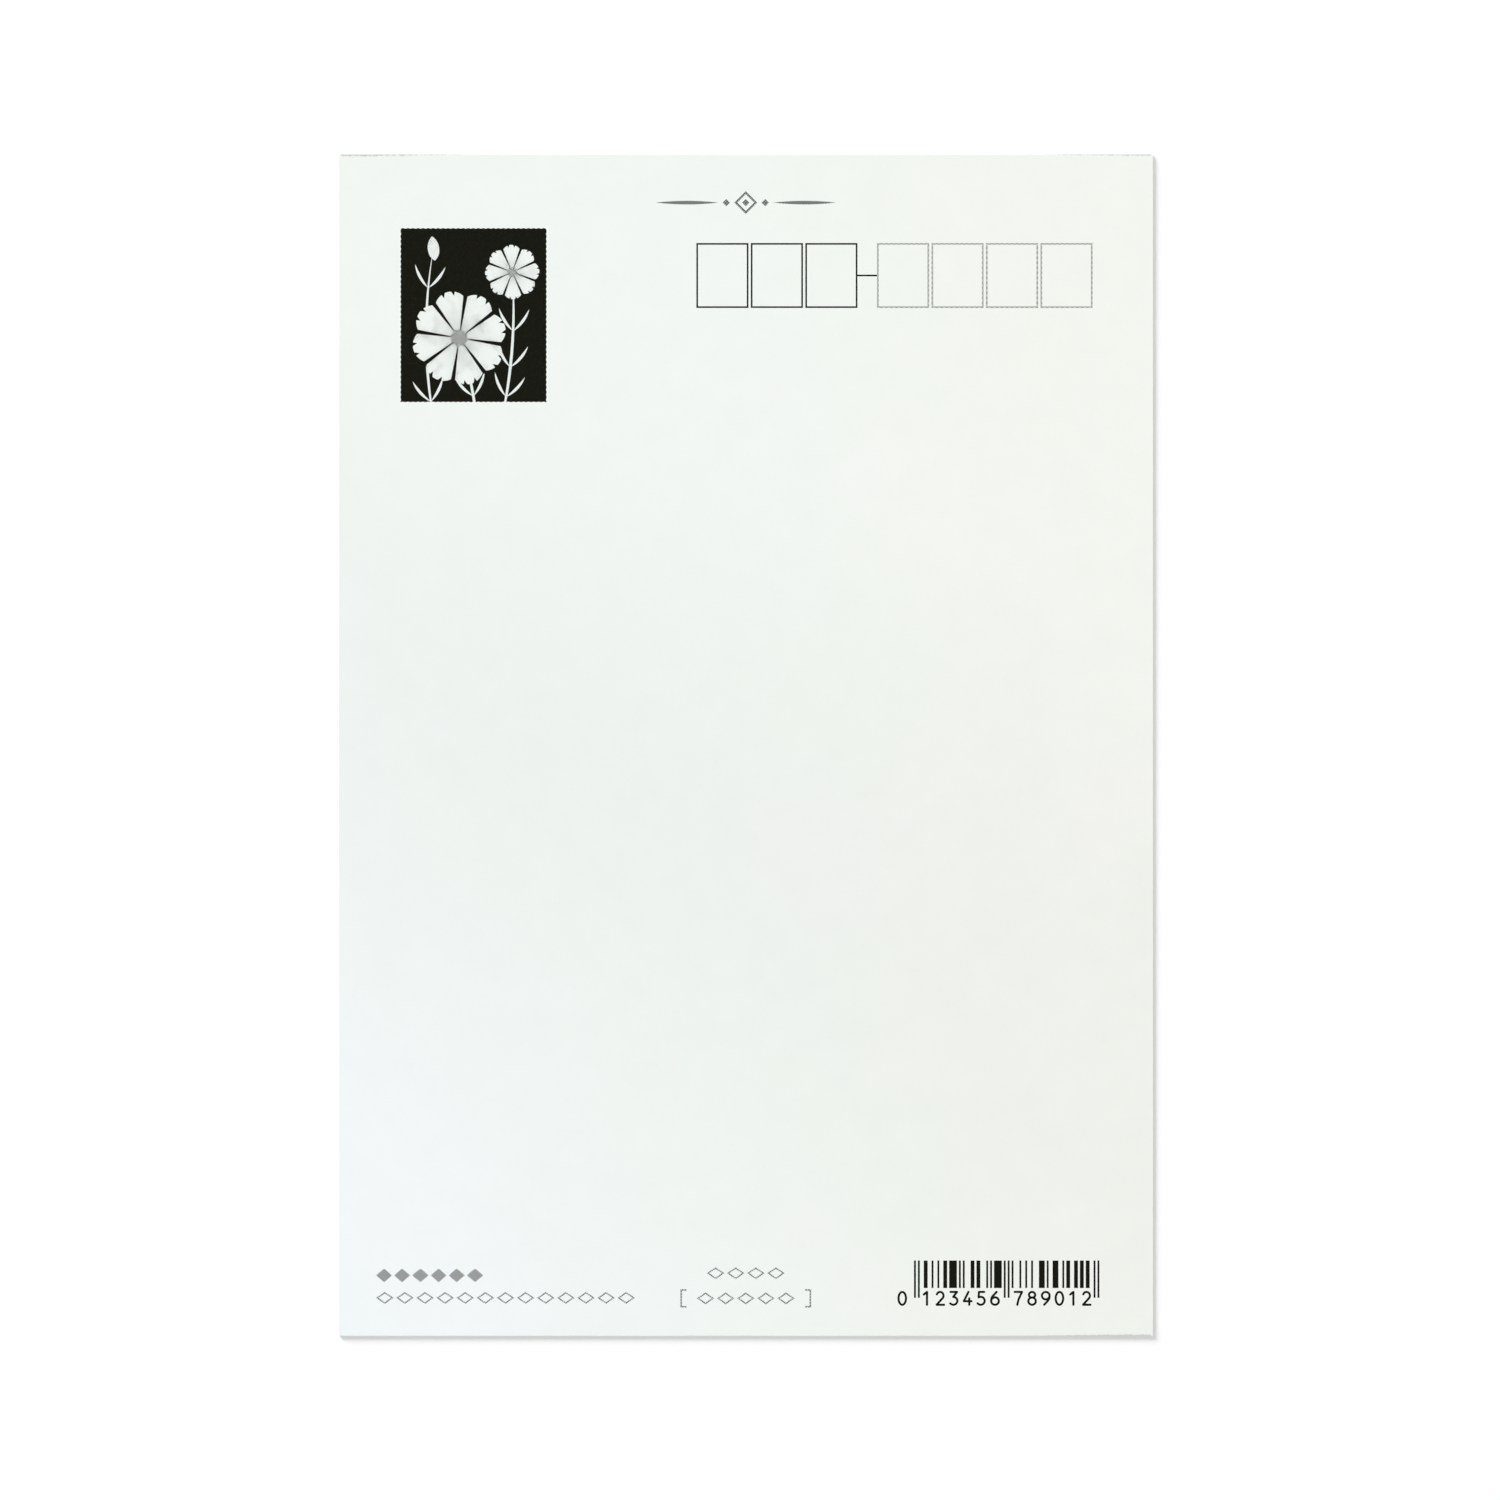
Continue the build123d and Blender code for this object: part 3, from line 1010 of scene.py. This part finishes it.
def strokeTree():
    tree, desk = geometryTree("inkStroke", {"Stroke": "Float", "Film": "Float", "Ink": "Material"})
    given = desk.add("NodeGroupInput").outputs
    half = desk.product(given["Stroke"], 0.5)
    upright = desk.add("GeometryNodeSetCurveNormal", {"Curve": given["Geometry"]}, mode="Z_UP")
    ring = desk.add("GeometryNodeCurvePrimitiveCircle", {"Resolution": bead["sides"], "Radius": 1.0})
    flat = desk.add(
        "GeometryNodeTransform",
        {"Geometry": ring.outputs[0], "Scale": desk.joined(half, given["Film"], 1.0)},
    )
    swept = desk.add(
        "GeometryNodeCurveToMesh",
        {"Curve": upright.outputs[0], "Profile Curve": flat.outputs[0], "Fill Caps": True},
    )
    shape = {"Segments": bead["capSegments"], "Rings": bead["capRings"], "Radius": 1.0}
    dome = desk.add("GeometryNodeMeshUVSphere", shape)
    # caps only where a path is open
    opened = desk.add("FunctionNodeBooleanMath", operation="NIMPLY")
    ends = desk.add("GeometryNodeCurveEndpointSelection", {"Start Size": 1, "End Size": 1})
    desk.feed(opened.inputs[0], ends.outputs[0])
    desk.feed(opened.inputs[1], desk.add("GeometryNodeInputSplineCyclic").outputs[0])
    caps = desk.add(
        "GeometryNodeInstanceOnPoints",
        {
            "Points": given["Geometry"],
            "Selection": opened.outputs[0],
            "Instance": dome.outputs[0],
            "Scale": desk.joined(half, half, given["Film"]),
        },
    )
    both = desk.add("GeometryNodeJoinGeometry")
    desk.feed(both.inputs[0], swept.outputs[0])
    desk.feed(both.inputs[0], caps.outputs[0])
    endTree(desk, both.outputs[0], given["Ink"])
    return tree


inkStroke = strokeTree()


def newPaths(name):
    paths = bpy.data.curves.new(name, "CURVE")
    paths.dimensions = "3D"
    return paths


def addPath(paths, points, level, isLoop=False):
    spline = paths.splines.new("POLY")
    spline.points.add(len(points) - 1)
    spline.use_cyclic_u = isLoop
    for knot, (x, y) in zip(spline.points, points):
        knot.co = (x * millimetre, y * millimetre, level * millimetre, 1.0)


def strokePiece(name, paths, sizes, ink):
    values = {"Stroke": sizes["stroke"] * millimetre, "Film": sizes["film"] * millimetre, "Ink": ink}
    keep(grown(name, paths, inkStroke, values))


# Digits under the bars, in a plain round stroke; a stroke is a run of points and arcs
digits = {
    "text": "0123456789012",
    "width": 1.00,
    "height": 1.61,
    "stroke": 0.28,
    "film": 0.0016,
    "slot": "black_ink",
    "baselineDrop": 0.875,               # below the ends of the guard bars
    "firstGap": 1.47,                    # from the first digit's middle to the bars
    "arcStep": 15.0,                     # degrees
    "fewestSteps": 4,
    "sharpTurn": 40.0,                   # degrees
    "loopGap": 0.001,                    # a run that ends so near its start is closed
    "moduleCount": 95,
    "groupStarts": (3, 50),              # in modules
    "modulesPerDigit": 7,
}


def arc(middle, radii, start, end):
    # points along part of an ellipse, by angles in degrees
    steps = max(digits["fewestSteps"], round(abs(end - start) / digits["arcStep"]))
    angles = [math.radians(start + (end - start) * step / steps) for step in range(steps + 1)]
    x, y = middle
    return [(x + radii[0] * math.cos(angle), y + radii[1] * math.sin(angle)) for angle in angles]


def turned(points):
    return [(1 - x, 1 - y) for x, y in points]


# each digit in a box one wide and one high
sixBowl = arc((0.5, 0.29), (0.48, 0.29), 180, 540)
sixStroke = [(0.70, 1.0)] + arc((0.72, 0.33), (0.70, 0.50), 128, 176) + sixBowl
digitStrokes = {
    "0": [arc((0.5, 0.5), (0.47, 0.5), 90, 450)],
    "1": [[(0.14, 0.80), (0.54, 1.0), (0.54, 0.0)]],
    "2": [arc((0.47, 0.71), (0.43, 0.29), 160, -38) + [(0.04, 0.0), (0.97, 0.0)]],
    "3": [[(0.06, 1.0), (0.88, 1.0), (0.40, 0.61)] + arc((0.42, 0.305), (0.50, 0.305), 82, -140)],
    "4": [[(0.60, 1.0), (0.02, 0.28), (0.98, 0.28)], [(0.70, 0.50), (0.70, 0.0)]],
    "5": [[(0.86, 1.0), (0.20, 1.0), (0.16, 0.58)] + arc((0.42, 0.31), (0.50, 0.31), 112, -140)],
    "6": [sixStroke],
    "7": [[(0.04, 1.0), (0.95, 1.0), (0.52, 0.42), (0.36, 0.0)]],
    "8": [arc((0.5, 0.775), (0.39, 0.225), -90, 270), arc((0.5, 0.285), (0.47, 0.285), 90, 450)],
    "9": [turned(sixStroke)],
}


def digitPlaces():
    # the middle of each digit's foot
    low, high = (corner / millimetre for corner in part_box("barcode_bars"))
    module = (high.x - low.x) / digits["moduleCount"]
    perGroup = len(digits["text"]) // 2
    middles = [low.x - digits["firstGap"]]
    for start in digits["groupStarts"]:
        for number in range(perGroup):
            middles.append(low.x + module * (start + digits["modulesPerDigit"] * (number + 0.5)))
    return [(middle, low.y - digits["baselineDrop"]) for middle in middles]


def smoothRuns(stroke):
    # cuts a stroke at its sharp corners, where a bead would pinch
    runs = [[stroke[0]]]
    for before, corner, after in zip(stroke, stroke[1:], stroke[2:]):
        runs[-1].append(corner)
        turn = (Vector(corner) - Vector(before)).angle(Vector(after) - Vector(corner))
        if turn > math.radians(digits["sharpTurn"]):
            runs.append([corner])
    runs[-1].append(stroke[-1])
    return runs


def makeDigits():
    paths = newPaths("digitPaths")
    for character, (middle, baseline) in zip(digits["text"], digitPlaces()):
        runs = [run for stroke in digitStrokes[character] for run in smoothRuns(stroke)]
        for run in runs:
            isLoop = math.dist(run[0], run[-1]) < digits["loopGap"]
            points = [
                (middle + (x - 0.5) * digits["width"], baseline + y * digits["height"])
                for x, y in (run[:-1] if isLoop else run)
            ]
            addPath(paths, points, addressFace, isLoop)
    strokePiece("barcode_digits", paths, digits, blackFilm)


makeDigits()

# Midribs of the picture's leaves, on the arcs that the leaves follow
foliage = {
    "stemFoot": cardLow.y - 14.0,
    "stems": [
        {"foot": 4.0, "bend": (-1.0, -48.0), "head": (-10.0, -12.0), "leaves": (0.46,)},
        {"foot": 15.0, "bend": (27.0, -18.0), "head": (27.0, 34.0), "leaves": (0.29, 0.46, 0.665)},
        {"foot": -24.0, "bend": (-33.0, -18.0), "head": (-28.0, 50.5), "leaves": (0.23, 0.80)},
    ],
    "leafLength": 19.0,
    "leafTurn": 34.0,
    "leafSag": 2.2,
}
ribs = {
    "span": (0.10, 0.84),                # along a leaf
    "points": 16,
    "stroke": 0.15,
    "film": 0.0010,
    "slot": "leaf_green_ink",
    "ink": (0.36, 0.47, 0.28),
    "toneScale": 0.3,
    "toneSwing": 0.7,
    "dots": 0.05,
}


def circleThrough(first, second, third):
    # centre, radius and the angles of an arc from the first point to the third
    a, b = second - first, third - first
    twice = 2 * (a.x * b.y - a.y * b.x)
    aSquare, bSquare = a.length_squared, b.length_squared
    centre = first + Vector((b.y * aSquare - a.y * bSquare, a.x * bSquare - b.x * aSquare)) / twice
    start, end = (math.atan2(one.y - centre.y, one.x - centre.x) for one in (first, third))
    turn = math.copysign(1.0, twice)
    sweep = (turn * (end - start)) % math.tau
    return centre, (first - centre).length, start, turn * sweep


def arcPoint(circle, share):
    centre, radius, start, sweep = circle
    angle = start + sweep * share
    return centre + Vector((math.cos(angle), math.sin(angle))) * radius


def leafArcs():
    nextShare = 0.001                    # to look ahead along a stem
    for stem in foliage["stems"]:
        foot = Vector((stem["foot"], foliage["stemFoot"]))
        line = circleThrough(foot, Vector(stem["bend"]), Vector(stem["head"]))
        for share in stem["leaves"]:
            start = arcPoint(line, share)
            ahead = (arcPoint(line, share + nextShare) - start).normalized()
            for side in (-1, 1):
                turn = Matrix.Rotation(math.radians(side * foliage["leafTurn"]), 2)
                reach = turn @ ahead * foliage["leafLength"]
                middle = start + reach / 2 - ahead * foliage["leafSag"]
                yield circleThrough(start, middle, start + reach)


def underBloom(point):
    return any((point - Vector(one["place"])).length < one["radius"] for one in flower["blooms"])


def makeRibInk():
    material, desk, shader = glossFinish("leafRib")
    place = desk.place()
    tone = desk.swing(desk.noise(place, ribs["toneScale"]), ribs["toneSwing"])
    finishPicture(desk, shader, place, desk.scaled(ribs["ink"], tone), ribs["dots"])
    return material


def makeLeafRibs():
    paths = newPaths("leafRibPaths")
    first, last = ribs["span"]
    count = ribs["points"]
    shares = [first + (last - first) * number / (count - 1) for number in range(count)]
    for line in leafArcs():
        points = [arcPoint(line, share) for share in shares]
        shown = [(-point.x, point.y) for point in points if not underBloom(point)]
        if len(shown) > 1:
            addPath(paths, shown, pictureFace)
    strokePiece("picture_leaf_ribs", paths, ribs, makeRibInk())


makeLeafRibs()


# Floor, light and camera

white = (1, 1, 1, 1)
stage = {
    "floorSize": 4.0,                    # metres
    "floorDrop": 0.02,
    "floorTint": (0.8, 0.8, 0.8, 1),     # what the floor throws back at the card; it is seen as white
    "key": {"share": 0.42, "elevation": 14.0, "azimuth": 130.0, "spread": 28.0},
    "overhead": {"share": 0.447, "elevation": 90.0, "azimuth": 0.0, "spread": 20.0},
    "surround": 0.18,
    "lens": 100.0,
    "sensor": 36.0,
    "frameWidth": 187.9,
    "aim": (0.53, -0.62),
    "nearest": 0.001,                    # metres
}


def makeFloor():
    half = stage["floorSize"] / 2
    level = -stage["floorDrop"] * millimetre
    corners = [(-half, -half, level), (half, -half, level), (half, half, level), (-half, half, level)]
    mesh = bpy.data.meshes.new("floor")
    mesh.from_pydata(corners, [], [(0, 1, 2, 3)])
    floor = bpy.data.objects.new("floor", mesh)
    bpy.context.scene.collection.objects.link(floor)
    material, desk, shader = newFinish("whiteFloor", specular=0.0, roughness=1.0)
    seen = desk.add("ShaderNodeLightPath").outputs["Is Camera Ray"]
    desk.feed(shader.inputs["Base Color"], desk.mixed(seen, stage["floorTint"], white))
    mesh.materials.append(material)


def makeSun(name, sizes):
    # share is the part of plain white that this light gives a level sheet
    elevation = math.radians(sizes["elevation"])
    lamp = bpy.data.lights.new(name, "SUN")
    lamp.energy = sizes["share"] * math.pi / math.sin(elevation)
    lamp.angle = math.radians(sizes["spread"])
    sun = bpy.data.objects.new(name, lamp)
    sun.rotation_euler = (0.0, math.pi / 2 - elevation, math.radians(sizes["azimuth"]))
    sun.visible_glossy = False     # the sheen mirrors the white surround, with no hot spot from a lamp
    bpy.context.scene.collection.objects.link(sun)


def makeWorld():
    world = bpy.data.worlds.new("studio")
    bpy.context.scene.world = world
    world.use_nodes = True
    world.node_tree.nodes.clear()
    desk = NodeDesk(world.node_tree)
    light = desk.add("ShaderNodeBackground", {"Color": white, "Strength": stage["surround"]})
    seen = desk.add("ShaderNodeBackground", {"Color": white, "Strength": 1.0})
    path = desk.add("ShaderNodeLightPath").outputs
    straight = desk.maths("MAXIMUM", path["Is Camera Ray"], path["Is Glossy Ray"])
    straight = desk.maths("MAXIMUM", straight, path["Is Transmission Ray"])
    mix = desk.add("ShaderNodeMixShader", {"Fac": straight})
    desk.feed(mix.inputs[1], light.outputs[0])
    desk.feed(mix.inputs[2], seen.outputs[0])
    desk.add("ShaderNodeOutputWorld", {"Surface": mix.outputs[0]})


def makeCamera():
    # straight above, with the card's top edge up
    lens = bpy.data.cameras.new("camera")
    lens.lens = stage["lens"]
    lens.sensor_width = stage["sensor"]
    lens.clip_start = stage["nearest"]
    camera = bpy.data.objects.new("camera", lens)
    distance = stage["frameWidth"] * stage["lens"] / stage["sensor"]
    camera.location = Vector((*stage["aim"], addressFace + distance)) * millimetre
    bpy.context.scene.collection.objects.link(camera)
    bpy.context.scene.camera = camera


makeFloor()
makeSun("keyLight", stage["key"])
makeSun("overheadLight", stage["overhead"])
makeWorld()
makeCamera()
bpy.context.scene.view_settings.view_transform = "Standard"
print("stage, light and camera set")
